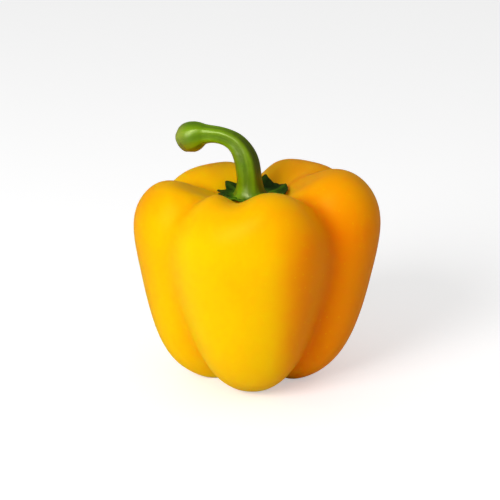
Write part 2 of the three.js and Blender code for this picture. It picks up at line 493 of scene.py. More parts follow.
class Shader(Tree):
    """A material under construction around one Principled shader."""

    groups: dict[Effect, bpy.types.NodeTree] = {}

    def __init__(self, name: str, **uniform: object) -> None:
        """Makes a material.

        Args:
            name: its name.
            uniform: values that are the same all over the surface, by socket name with
                underscores for spaces.
        """
        self.material = bpy.data.materials.new(name)
        self.material.use_nodes = True
        super().__init__(self.material.node_tree)
        self.principled = self.tree.nodes["Principled BSDF"]
        for key, value in uniform.items():
            self.principled.inputs[key.replace("_", " ")].default_value = value
        self.place = self.add("ShaderNodeTexCoord").outputs["Object"]

    def set(self, name: str, value: Value) -> None:
        """Links a varying value into the shader."""
        plug(self.tree, self.principled.inputs[name], value)

    def named(self, name: str) -> Field:
        """Reads a number that the mesh carries."""
        return self.field("ShaderNodeAttribute", output="Fac", attribute_name=name)

    def effect(self, kind: Effect, **inputs: Value) -> Field:
        """Places a shared group.

        Args:
            kind: which group.
            inputs: its values, by socket name with underscores for spaces.

        Returns:
            The group's output.
        """
        if kind not in self.groups:
            self.groups[kind] = {Effect.MOTTLE: mottle_group, Effect.GRAIN: grain_group}[kind]()
        values = {key.replace("_", " "): value for key, value in inputs.items()}
        node = self.tree.nodes.new("ShaderNodeGroup")
        node.node_tree = self.groups[kind]
        for key, value in values.items():
            plug(self.tree, node.inputs[key], value)
        return Field(self.tree, node.outputs[0])

    def stretched(self, across: float, along: float) -> bpy.types.NodeSocket:
        """The place on the piece, scaled so that a pattern is drawn out along Z."""
        inputs = {0: self.place, 1: (across, across, along)}
        return self.add("ShaderNodeVectorMath", inputs, operation="MULTIPLY").outputs[0]

    def bump(self, height: Value, depth: float, strength: float = 1.0) -> None:
        """Links a fine relief into the shader's normal.

        Args:
            height: a relief from 0 to 1.
            depth: its depth in millimetres.
            strength: how much of it shows.
        """
        inputs = {"Strength": strength, "Distance": depth * MM, "Height": height}
        self.set("Normal", self.add("ShaderNodeBump", inputs).outputs[0])


@dataclass(frozen=True)
class PepperSkin:
    """Taut waxy skin, yellow, with painted shade in its colour: a deeper orange in the furrows, amber on
    the left edge and towards the top, and orange on the right side away from the key light, which also
    stands for a ripening blush.
    """

    yellow: Colour = linear(251, 200, 0)
    deep_yellow: Colour = linear(250, 186, 0)
    amber: Colour = linear(248, 164, 0)
    orange: Colour = linear(241, 136, 0)
    deep_orange: Colour = linear(232, 100, 0)
    pale: Colour = linear(253, 212, 8)
    scar: Colour = linear(120, 84, 36)
    # Where the painted shade sets in and is full, in millimetres: the right side's orange (also a ripening
    # blush) and the left edge's amber along X, the top's amber along Z.
    right_shade_and_blush_span: Pair = (3.0, 18.0)
    flank_span: Pair = (-30.0, -44.0)
    crown_span: Pair = (60.0, 78.0)

    def material(self, scar: Vector, scar_radius: float) -> bpy.types.Material:
        """Makes the skin.

        Args:
            scar: where the blossom scar is, in metres.
            scar_radius: its radius in metres.

        Returns:
            The material.
        """
        shader = Shader(
            "pepper_skin", IOR=1.33, Specular_IOR_Level=0.25, Specular_Tint=(1.0, 0.72, 0.12, 1.0),
            Subsurface_Weight=0.8, Subsurface_Radius=(1.0, 0.3, 0.05), Subsurface_Scale=10 * MM)
        patches = shader.effect(Effect.MOTTLE, Place=shader.place, Scale=28.0, Seed=2.0, Sharpness=1.6)
        streaks = shader.effect(
            Effect.MOTTLE, Place=shader.stretched(1.0, 0.12), Scale=420.0, Seed=7.0, Sharpness=1.8)
        colour = shader.blend(patches, self.yellow, self.deep_yellow)
        colour = shader.blend(streaks * 0.18, colour, self.pale)

        x, _, z = (part / MM + (patches - 0.5) * 6.0 for part in shader.parts(shader.place))
        crown = z.ramp(*self.crown_span)
        # Painted shade: orange on the right side, which faces away from the key light, and also a ripening
        # blush; on the top, where the key light falls, half of it is left off as painted light.
        right_shade_and_blush = x.ramp(*self.right_shade_and_blush_span) * (1.0 - 0.5 * crown)
        # Painted shade: amber on the left edge and towards the top, around the basin.
        edge_and_top_shade = (crown * 0.5 + x.ramp(*self.flank_span) * 0.8).math("MINIMUM", 1.0)
        colour = shader.blend(edge_and_top_shade, colour, self.amber)
        colour = shader.blend(right_shade_and_blush * 0.95, colour, self.orange)
        # Painted shade and bounce: a deeper orange in the bottom of every furrow, more of it on the right
        # side.
        furrow = shader.named("lobe_rise").ramp(0.3, 0.0)
        colour = shader.blend(furrow * (0.2 + 0.25 * right_shade_and_blush), colour, self.deep_orange)

        freckles = shader.add("ShaderNodeTexVoronoi", {"Vector": shader.place, "Scale": 330.0})
        dots = Field(shader.tree, freckles.outputs["Distance"]).ramp(0.16, 0.08)
        colour = shader.blend(dots * patches * 0.3, colour, self.pale)

        near = shader.vector_math("DISTANCE", shader.place, tuple(scar)).outputs["Value"]
        scarred = Field(shader.tree, near).ramp(1.25 * scar_radius, 0.75 * scar_radius)
        shader.set("Base Color", shader.blend(scarred, colour, self.scar))
        shader.set("Roughness", 0.34 + 0.1 * patches + 0.4 * scarred)
        grain = shader.effect(Effect.GRAIN, Place=shader.place, Waves=170.0, Grain_Share=0.12)
        shader.bump(grain, 0.12, 0.5)
        return shader.material


@dataclass(frozen=True)
class CalyxLeaf:
    """Dull dark green leaf tissue with paler ribs and dry brown tooth tips, a brighter green near the
    stalk, and the same brighter green on its front half as painted light where the key light falls.
    """

    green: Colour = linear(40, 76, 2)
    dark: Colour = linear(14, 36, 1)
    rib: Colour = linear(74, 112, 2)
    # The stalk-like green near the hub, also used as painted light on the front half.
    hub: Colour = linear(78, 122, 0)
    dry: Colour = linear(52, 40, 6)

    def material(self) -> bpy.types.Material:
        """Makes the leaf tissue.

        Returns:
            The material.
        """
        shader = Shader("calyx_green", IOR=1.4, Specular_IOR_Level=0.25,
                        Specular_Tint=(0.8, 1.0, 0.5, 1.0), Subsurface_Weight=0.1,
                        Subsurface_Radius=(0.4, 1.0, 0.1), Subsurface_Scale=1 * MM)
        patches = shader.effect(Effect.MOTTLE, Place=shader.place, Scale=300.0, Seed=11.0, Sharpness=2.2)
        colour = shader.blend(patches, self.green, self.dark)
        share = shader.named("calyx_share")
        ribs = shader.named("calyx_rib")
        colour = shader.blend(ribs * 0.35, colour, self.rib)
        reach = shader.named("calyx_reach")
        # Brighter green near the stalk, the tissue's own colour there, and on the front half of the collar,
        # which is painted light where the key light falls.
        front = shader.parts(shader.place)[1].ramp(-1 * MM, -6 * MM)
        near = (reach.ramp(9.5, 6.5) + front).math("MINIMUM", 1.0)
        colour = shader.blend(near * 0.9, colour, self.hub)
        brim = share.ramp(0.93, 1.0) * reach.ramp(10.5, 12.5) * (0.4 + 0.5 * ribs)
        shader.set("Base Color", shader.blend(brim, colour, self.dry))
        shader.set("Roughness", 0.5 + 0.2 * patches)
        grain = shader.effect(Effect.GRAIN, Place=shader.place, Waves=700.0, Grain_Share=0.3)
        shader.bump(grain, 0.15, 0.7)
        return shader.material


@dataclass(frozen=True)
class StalkBark:
    """Smooth fresh stalk: green ridges, darker grooves and a pale cut end, with painted light in its
    colour: a dark olive right side as painted shade, a yellow-brown underside of the knob as painted bounce
    from the pod, and paler faces near the end as painted highlight.
    """

    green: Colour = linear(112, 152, 0)
    groove: Colour = linear(76, 116, 0)
    pale: Colour = linear(140, 172, 20)
    # Dark olive: the stalk's own blots, and painted shade on its right side.
    blot_and_shade_olive: Colour = linear(66, 74, 0)
    # Yellow-brown: painted bounce light from the pod under the knob, and the rings of the cut face.
    bounce_and_ring_ochre: Colour = linear(134, 96, 2)
    # Pale cream green of the cut face, also used as painted highlight on the knob's faces near the end.
    cut: Colour = linear(168, 160, 84)
    rim: Colour = linear(84, 58, 16)

    def material(self) -> bpy.types.Material:
        """Makes the stalk's skin and cut end.

        Returns:
            The material.
        """
        shader = Shader("stalk_green", IOR=1.45, Specular_IOR_Level=0.55,
                        Specular_Tint=(0.95, 1.0, 0.5, 1.0), Subsurface_Weight=0.1,
                        Subsurface_Radius=(0.5, 1.0, 0.1), Subsurface_Scale=1.5 * MM)
        along = shader.named("stalk_along")
        ridge = shader.named("stalk_ridge")
        inset = shader.named("stalk_inset")
        fibre = shader.named("stalk_fibre")
        patches = shader.effect(Effect.MOTTLE, Place=shader.place, Scale=160.0, Seed=17.0, Sharpness=1.8)
        colour = shader.blend(ridge, self.groove, self.green)
        colour = shader.blend(fibre.ramp(0.5, 0.75) * 0.5, colour, self.pale)
        colour = shader.blend(patches * 0.3, colour, self.pale)
        blots = shader.effect(Effect.MOTTLE, Place=shader.place, Scale=210.0, Seed=29.0, Sharpness=2.4)
        colour = shader.blend(blots * along.ramp(0.72, 0.5) * 0.5, colour, self.blot_and_shade_olive)
        normal = shader.parts(shader.add("ShaderNodeNewGeometry").outputs["Normal"])
        # Painted shade: the side that faces +X, away from the key light, turns dark olive below the knob.
        colour = shader.blend(normal[0].ramp(0.1, 0.8) * along.ramp(0.75, 0.6) * 0.75, colour, self.blot_and_shade_olive)
        # Painted bounce light: the knob's underside turns yellow-brown, as if lit by the yellow pod below.
        under = normal[2].ramp(0.1, -0.8) * along.ramp(0.72, 0.95)
        colour = shader.blend(under * 0.75, colour, self.bounce_and_ring_ochre)
        # Paler towards the cut end on the faces that don't turn downwards: partly the cut end's own pale
        # colour, partly a painted highlight.
        colour = shader.blend(along.ramp(0.88, 1.0) * normal[2].ramp(-0.6, 0.4) * 0.55, colour, self.cut)
        rings = (inset * 28.0).math("SINE") * 0.12 + fibre * 0.5
        face = shader.blend(rings, self.cut, self.bounce_and_ring_ochre)
        colour = shader.blend(inset.ramp(0.02, 0.1), colour, self.rim)
        colour = shader.blend(inset.ramp(0.14, 0.3), colour, face)
        shader.set("Base Color", colour)
        shader.set("Roughness", 0.22 + 0.2 * patches + 0.3 * inset.ramp(0.05, 0.2))
        grain = shader.effect(Effect.GRAIN, Place=shader.place, Waves=600.0, Grain_Share=0.25)
        shader.bump(grain + fibre * 0.8, 0.12, 0.6)
        return shader.material


@dataclass(frozen=True)
class StudioFloor:
    """Pale matt paper that glows a little to the camera and is dimmed in reflections."""

    tone: Colour = (0.8, 0.8, 0.8)
    patch_tone: Colour = (0.7, 0.7, 0.7)
    glow: float = 0.42
    gloss_dimming: float = 0.75

    def material(self) -> bpy.types.Material:
        """Makes the paper.

        Returns:
            The material.
        """
        shader = Shader("studio_paper", Specular_IOR_Level=0.1, Emission_Strength=1.0)
        patches = shader.effect(Effect.MOTTLE, Place=shader.place, Scale=3.0, Seed=1.0, Sharpness=1.0)
        colour = shader.blend(patches * 0.05, self.tone, self.patch_tone)
        mirrored = shader.field("ShaderNodeLightPath", output="Is Glossy Ray")
        shader.set("Base Color", shader.blend(mirrored * self.gloss_dimming, colour, BLACK))
        shader.set("Roughness", 0.8 + 0.1 * patches)
        seen = shader.field("ShaderNodeLightPath", output="Is Camera Ray")
        shader.set("Emission Color", shader.blend(seen * self.glow, BLACK, WHITE))
        return shader.material


# ----------------------------------------------------------------------------------------------
# Pod
# ----------------------------------------------------------------------------------------------


@dataclass(frozen=True)
class Station:
    """One control point of every meridian, from the stalk's seat down to the dimple.

    Ridge and furrow are [radius, height]. Softness rounds the furrow's bottom. The others say how
    much of a lobe's reach, lift, crest and tip, and of the front notch, is felt here.
    """

    ridge: Pair
    furrow: Pair
    softness: float
    reach: float = 0.0
    lift: float = 0.0
    crest: float = 0.0
    tip: float = 0.0
    notch: float = 0.0


@dataclass(frozen=True)
class Lobe:
    """One lobe: where its ridge is, and how it differs from the plain meridian."""

    azimuth: float
    reach: float
    lift: float
    crest: float
    tip: float
    fullness: float


@dataclass(frozen=True)
class Furrow:
    """The furrow after a lobe: where it is, and how its bottom differs from the plain one."""

    azimuth: float
    reach: float
    lift: float


# Not worked out from driving dimensions: a separate program fitted these radii and heights, all but
# the height of the tips, and much of LOBES, FURROWS, the twist and the lean. They are rounded only.
STATIONS = (
    Station((0.0, 68.4), (0.0, 68.4), 0.35),
    Station((8.0, 68.4), (8.0, 68.4), 0.35),
    Station((14.3, 72.2), (13.4, 70.4), 0.35, reach=0.2, lift=0.4, crest=0.7, notch=0.3),
    Station((21.5, 78.5), (19.3, 73.2), 0.3, reach=0.5, lift=1.0, crest=1.0, notch=1.0),
    Station((30.3, 80.7), (25.5, 73.2), 0.24, reach=0.8, lift=1.0, crest=0.8, notch=1.0),
    Station((39.2, 76.1), (32.6, 70.2), 0.19, reach=1.0, lift=0.8, crest=0.3, notch=0.5),
    Station((45.6, 63.8), (39.6, 61.7), 0.14, reach=1.0, lift=0.5, notch=0.1),
    Station((42.1, 44.3), (36.8, 44.3), 0.15, reach=0.9, lift=0.2, tip=0.2),
    Station((38.3, 24.5), (29.8, 23.7), 0.15, reach=0.6, tip=0.5),
    Station((30.9, 5.9), (22.0, 8.7), 0.16, reach=0.3, tip=1.0),
    Station((12.5, -3.6), (12.6, 5.3), 0.21, reach=0.1, tip=1.0),
    Station((5.0, 5.6), (5.0, 5.6), 0.25),
    Station((0.0, 5.6), (0.0, 5.6), 0.3),
)
LOBES = (
    Lobe(-92.0, reach=-0.3, lift=0.0, crest=0.4, tip=-1.2, fullness=2.7),
    Lobe(-8.0, reach=1.2, lift=-0.2, crest=0.5, tip=-1.1, fullness=2.8),
    Lobe(49.0, reach=1.2, lift=-4.4, crest=-1.0, tip=0.0, fullness=4.8),
    Lobe(117.0, reach=-3.4, lift=-4.5, crest=-2.5, tip=0.0, fullness=4.0),
    Lobe(188.0, reach=-1.5, lift=-3.6, crest=2.7, tip=0.3, fullness=2.9),
)
FURROWS = (
    Furrow(-42.0, reach=-1.7, lift=-0.9),
    Furrow(24.0, reach=0.0, lift=1.6),
    Furrow(86.0, reach=-0.6, lift=-4.0),
    Furrow(159.5, reach=0.3, lift=-2.3),
    Furrow(219.5, reach=-0.3, lift=-0.6),
)


@dataclass
class Pod:
    """The fleshy fruit: five lobes around a sunken seat, standing on their flattened tips."""

    axis: Pair = (-0.9, 2.3)
    lean: Pair = (-0.3, -2.1)
    lean_height: float = 40.0
    twist: float = 2.4
    notch: tuple[float, float, float] = (-105.0, 13.3, 4.1)
    swelling: tuple[float, float, float] = (-129.0, 9.0, 2.0)
    columns_per_lobe: int = 16
    level: int = 3
    lump_height: float = 0.22
    scar_radius: float = 1.7
    scar_depth: float = 0.7
    seed: int = 4
    skin: PepperSkin = PepperSkin()

    def centre(self, height: float) -> Vector:
        """The middle of the leaning pod at a height.

        Args:
            height: in millimetres.

        Returns:
            The point in metres.
        """
        above = (height - self.lean_height) / self.lean_height
        x, y = (a + l * above for a, l in zip(self.axis, self.lean))
        return Vector((x, y, height)) * MM

    def seat(self) -> Vector:
        """The floor of the basin, where the stalk stands."""
        return self.centre(STATIONS[0].ridge[1])

    def dimple(self) -> Vector:
        """The middle of the dimple underneath."""
        return self.centre(STATIONS[-1].ridge[1])

    def columns(self) -> list[tuple[float, float, Lobe, Furrow]]:
        """Meridians with one in every furrow, evenly spaced across every lobe.

        Returns:
            For each its azimuth, its rise from furrow (0) to ridge (1), its lobe and the furrow
            on its side of the ridge.
        """
        made = []
        for before, lobe, after in zip(FURROWS, (*LOBES[1:], LOBES[0]), (*FURROWS[1:], FURROWS[0])):
            width = (after.azimuth - before.azimuth) % 360
            ridge = (lobe.azimuth - before.azimuth) % 360
            for step in range(self.columns_per_lobe):
                turn = width * step / self.columns_per_lobe
                near = turn <= ridge
                rise = turn / ridge if near else (width - turn) / (width - ridge)
                made.append((before.azimuth + turn, rise, lobe, before if near else after))
        return made

    def cage(self) -> bpy.types.Object:
        """The control cage, with what each of its points needs to find its place.

        Returns:
            The cage object.
        """
        columns = self.columns()
        inner = STATIONS[1:-1]
        cage = ring_cage("bell_pepper_pod", len(columns), len(inner))
        points = [(STATIONS[0], columns[0])]
        points += [(station, column) for station in inner for column in columns]
        points += [(STATIONS[-1], columns[0])]
        ridges, valleys, shapes = [], [], []
        for station, (_, rise, lobe, furrow) in points:
            outward = lobe.reach * station.reach + lobe.tip * station.tip + lobe.crest * station.crest
            ridges.append((station.ridge[0] + outward,
                           station.ridge[1] + lobe.lift * station.lift, station.notch))
            valleys.append((station.furrow[0] + furrow.reach * station.reach,
                            station.furrow[1] + furrow.lift * station.lift, 0.0))
            shapes.append((rise, station.softness, lobe.fullness))
        write_vectors(cage, "ridge", ridges)
        write_vectors(cage, "valley", valleys)
        write_vectors(cage, "shape", shapes)
        write_numbers(cage, "azimuth", (column[0] for _, column in points))
        write_numbers(cage, "lobe_rise", (column[1] for _, column in points))
        return cage

    def rule(self, material: bpy.types.Material) -> bpy.types.NodeTree:
        """The geometry tree that turns the cage into the pod.

        Args:
            material: the skin.

        Returns:
            The tree.
        """
        tree = GeometryTree("pod_rule", {
            "Axis": (0.0, 0.0, 0.0), "Lean": (0.0, 0.0, 0.0), "Lean Height": 40.0, "Twist": 0.0,
            "Notch": (0.0, 10.0, 0.0), "Swelling": (0.0, 10.0, 0.0), "Level": 2,
            "Lump Height": 0.1, "Scar Radius": 1.0, "Scar Depth": 0.0, "Dimple": (0.0, 0.0, 0.0),
            "Seed": self.seed})
        azimuth = tree.named("azimuth")
        ridge_radius, ridge_height, notch = tree.parts(tree.named("ridge", "FLOAT_VECTOR"))
        valley_radius, valley_height, _ = tree.parts(tree.named("valley", "FLOAT_VECTOR"))
        rise, softness, fullness = tree.parts(tree.named("shape", "FLOAT_VECTOR"))

        # The swelling of a lobe from its furrow, whose bottom is rounded.
        squared = softness * softness
        rounded = ((rise * rise + squared) ** 0.5 - softness) / ((squared + 1.0) ** 0.5 - softness)
        swell = 1.0 - (1.0 - rounded) ** fullness
        radius = valley_radius + swell * (ridge_radius - valley_radius)
        height = valley_height + swell * (ridge_height - valley_height)
        for label, sign in (("Notch", -1.0), ("Swelling", 1.0)):
            middle, width, depth = tree.parts(tree.size(label))
            share = (azimuth - middle).math("WRAP", 180.0, -180.0) / width
            height = height + sign * depth * (0.0 - share * share).math("EXPONENT") * notch

        above = (height - tree.size("Lean Height")) / tree.size("Lean Height")
        angle = (azimuth + tree.size("Twist") * above).math("RADIANS")
        axis_x, axis_y, _ = tree.parts(tree.size("Axis"))
        lean_x, lean_y, _ = tree.parts(tree.size("Lean"))
        x = radius * angle.math("COSINE") + lean_x * above + axis_x
        y = radius * angle.math("SINE") + lean_y * above + axis_y
        shaped = tree.moved(tree.entry.outputs["Cage"], tree.scaled(tree.vector(x, y, height), MM))
        smooth = tree.smoothed(shaped, tree.size("Level"))

        # Broad shallow lumps, drawn out along the lobes, that fade out where the tips stand.
        position = tree.add("GeometryNodeInputPosition").outputs[0]
        drawn_out = tree.vector_math("MULTIPLY", position, (1.0, 1.0, 0.4)).outputs[0]
        broad = tree.noise(drawn_out, 45.0, 1.0, tree.size("Seed")) - 0.5
        small = tree.noise(position, 130.0, 1.0, tree.size("Seed")) - 0.5
        standing = tree.parts(position)[2].ramp(1.5 * MM, 9.0 * MM)
        lump = (broad * 2.0 + small * 0.5) * tree.size("Lump Height") * standing * MM
        normal = tree.add("GeometryNodeInputNormal").outputs[0]
        lumpy = tree.moved(smooth, offset=tree.scaled(normal, lump))

        # The blossom scar: a small crater with a raised lip in the dimple.
        from_scar = tree.vector_math("DISTANCE", position, tree.size("Dimple")).outputs["Value"]
        out = Field(tree.tree, from_scar) / (tree.size("Scar Radius") * MM)
        crater = out.ramp(1.0, 0.3) - out.ramp(2.0, 1.1) * out.ramp(0.4, 1.1) * 0.6
        pit = tree.vector(0.0, 0.0, crater * tree.size("Scar Depth") * MM)
        scarred = tree.moved(lumpy, offset=pit)

        # The tips rest on the floor.
        x, y, z = tree.parts(position)
        rested = tree.moved(scarred, tree.vector(x, y, z.math("MAXIMUM", 0.0)))
        return tree.finish(rested, material)

    def build(self) -> bpy.types.Object:
        """Makes the finished pod.

        Returns:
            Its object.
        """
        material = self.skin.material(self.dimple(), self.scar_radius * MM)
        return grow(self.cage(), self.rule(material), {
            "Axis": (*self.axis, 0.0), "Lean": (*self.lean, 0.0), "Lean Height": self.lean_height,
            "Twist": self.twist, "Notch": self.notch, "Swelling": self.swelling,
            "Level": self.level, "Lump Height": self.lump_height,
            "Scar Radius": self.scar_radius, "Scar Depth": self.scar_depth,
            "Dimple": tuple(self.dimple()), "Seed": self.seed})


# ----------------------------------------------------------------------------------------------
# Calyx
# ----------------------------------------------------------------------------------------------


@dataclass
class Calyx:
    """The green collar in the basin, with short teeth along its edge and a rib to each."""

    teeth: tuple[tuple[float, float, float], ...] = (
        (-172.0, 12.8, 0.0), (-148.0, 12.2, 0.2), (-115.0, 11.0, 0.0), (-75.0, 11.2, 0.0),
        (-24.0, 12.2, 0.2), (24.0, 13.0, 0.0), (73.5, 15.8, 1.3), (139.0, 13.5, 0.0), (168.0, 13.4, 0.0))
    scallop: float = 11.1
    scallop_sway: float = 1.4
    sway_azimuth: float = 30.0
    tooth_width: float = 22.0
    tooth_sharpness: float = 1.7
    gap: float = 0.35
    curl: float = 0.6
    hub: float = 1.3
    rim: float = 0.7
    rib_height: float = 0.5
    columns: int = 144
    shares_above: tuple[float, ...] = (0.12, 0.25, 0.38, 0.5, 0.62, 0.74, 0.85, 0.94, 0.99)
    shares_below: tuple[float, ...] = (1.0, 0.97, 0.85, 0.6, 0.3)
    level: int = 1
    seed: int = 9
    leaf: CalyxLeaf = CalyxLeaf()

    def tooth_marks(self) -> bpy.types.Object:
        """One point for each tooth, on a unit circle, that carries its tip's radius and lift."""
        places = [(math.cos(math.radians(a)), math.sin(math.radians(a)), 0.0) for a, _, _ in self.teeth]
        mesh = bpy.data.meshes.new("tooth_marks")
        mesh.from_pydata(places, [], [])
        marks = bpy.data.objects.new("tooth_marks", mesh)
        bpy.context.scene.collection.objects.link(marks)
        write_vectors(marks, "tip", ((radius, lift, 0.0) for _, radius, lift in self.teeth))
        return marks

    def cage(self) -> bpy.types.Object:
        """Rings over the collar's top and back under it.

        Returns:
            The cage object.
        """
        rings = [(share, 1.0) for share in self.shares_above]
        rings += [(share, 0.0) for share in self.shares_below]
        cage = ring_cage("bell_pepper_calyx", self.columns, len(rings))
        points = [(0.0, 1.0, 0.0)]
        points += [(share, side, 360 * column / self.columns)
                   for share, side in rings for column in range(self.columns)]
        points += [(0.0, 0.0, 0.0)]
        write_vectors(cage, "collar", points)
        return cage

    def rule(self, material: bpy.types.Material) -> bpy.types.NodeTree:
        """The geometry tree that lays the collar on the pod.

        Args:
            material: the leaf tissue.

        Returns:
            The tree.
        """
        tree = GeometryTree("calyx_rule", {
            "Centre": (0.0, 0.0, 0.0), "Scallop": 10.0, "Scallop Sway": 0.0, "Sway Azimuth": 0.0,
            "Tooth Width": 20.0, "Tooth Sharpness": 1.5,
            "Gap": 0.3, "Curl": 0.0, "Hub": 1.0, "Rim": 0.5, "Rib Height": 0.3, "Level": 1,
            "Seed": self.seed}, ("Pod", "Teeth"))
        share, side, azimuth = tree.parts(tree.named("collar", "FLOAT_VECTOR"))
        angle = azimuth.math("RADIANS")
        unit = tree.vector(angle.math("COSINE"), angle.math("SINE"), 0.0)

        # The edge bulges into a tooth beside each mark.
        marks = tree.geometry_of("Teeth")
        nearest = tree.add("GeometryNodeSampleNearest", {"Geometry": marks, "Sample Position": unit})
        mark = tree.add("GeometryNodeSampleIndex", {
            "Geometry": marks, "Value": tree.add("GeometryNodeInputPosition").outputs[0],
            "Index": nearest.outputs[0]}, data_type="FLOAT_VECTOR").outputs[0]
        tip, tip_lift, _ = tree.parts(tree.add("GeometryNodeSampleIndex", {
            "Geometry": marks, "Value": tree.named("tip", "FLOAT_VECTOR"),
            "Index": nearest.outputs[0]}, data_type="FLOAT_VECTOR").outputs[0])
        chord = Field(tree.tree, tree.vector_math("DISTANCE", unit, mark).outputs["Value"])
        away = (chord / 2.0).math("ARCSINE").math("DEGREES") * 2.0
        bulge = (1.0 - away / tree.size("Tooth Width")).math("MAXIMUM", 0.0) ** tree.size("Tooth Sharpness")
        swayed = (azimuth - tree.size("Sway Azimuth")).math("RADIANS").math("COSINE")
        scallop = tree.size("Scallop") + tree.size("Scallop Sway") * swayed
        edge = scallop + (tip - scallop) * bulge
        wobble = (tree.noise(unit, 4.0, 2.0, tree.size("Seed")) - 0.5) * 1.2
        radius = (edge + wobble * share) * share

        # The pod's surface below each point.
        centre_x, centre_y, _ = tree.parts(tree.size("Centre"))
        unit_x, unit_y, _ = tree.parts(unit)
        x, y = centre_x + unit_x * radius * MM, centre_y + unit_y * radius * MM
        hit = tree.add("GeometryNodeRaycast", {
            "Target Geometry": tree.geometry_of("Pod"), "Source Position": tree.vector(x, y, 0.2),
            "Ray Direction": (0.0, 0.0, -1.0), "Ray Length": 1.0}).outputs["Hit Position"]
        floor = tree.parts(hit)[2]

        rib = (0.0 - (away / 5.0) ** 2.0).math("EXPONENT") * share.ramp(0.15, 0.5)
        waves = (tree.noise(unit, 5.5, 1.0, tree.size("Seed")) - 0.4).math("MAXIMUM", 0.0)
        fold = waves * 1.6 * share ** 2.0
        under = tree.size("Gap") + (tree.size("Curl") + tip_lift * bulge) * share ** 4.0 + fold
        spread = share.ramp(0.3, 1.0)
        thickness = tree.size("Hub") * (1.0 - spread) + tree.size("Rim") * spread
        over = thickness + tree.size("Rib Height") * rib * share.ramp(1.0, 0.7)
        place = tree.vector(x, y, floor + (under + over * side) * MM)
        laid = tree.moved(tree.entry.outputs["Cage"], place)
        marked = tree.store(tree.store(laid, "calyx_share", share), "calyx_rib", rib)
        marked = tree.store(marked, "calyx_reach", radius)
        smooth = tree.smoothed(marked, tree.size("Level"))

        position = tree.add("GeometryNodeInputPosition").outputs[0]
        normal = tree.add("GeometryNodeInputNormal").outputs[0]
        uneven = (tree.noise(position, 420.0, 2.0, tree.size("Seed")) - 0.5) * (0.35 * MM)
        return tree.finish(tree.moved(smooth, offset=tree.scaled(normal, uneven)), material)

    def build(self, pod: Pod, pod_piece: bpy.types.Object) -> bpy.types.Object:
        """Makes the finished calyx.

        Args:
            pod: the pod that it sits in.
            pod_piece: the pod's finished object.

        Returns:
            The calyx's object.
        """
        marks = self.tooth_marks()
        piece = grow(self.cage(), self.rule(self.leaf.material()), {
            "Centre": tuple(pod.seat()), "Scallop": self.scallop, "Scallop Sway": self.scallop_sway,
            "Sway Azimuth": self.sway_azimuth, "Tooth Width": self.tooth_width,
            "Tooth Sharpness": self.tooth_sharpness, "Gap": self.gap, "Curl": self.curl,
            "Hub": self.hub, "Rim": self.rim, "Rib Height": self.rib_height, "Level": self.level,
            "Seed": self.seed, "Pod": pod_piece, "Teeth": marks})
        discard(marks)
        return piece


# ----------------------------------------------------------------------------------------------
# Stalk
# ----------------------------------------------------------------------------------------------


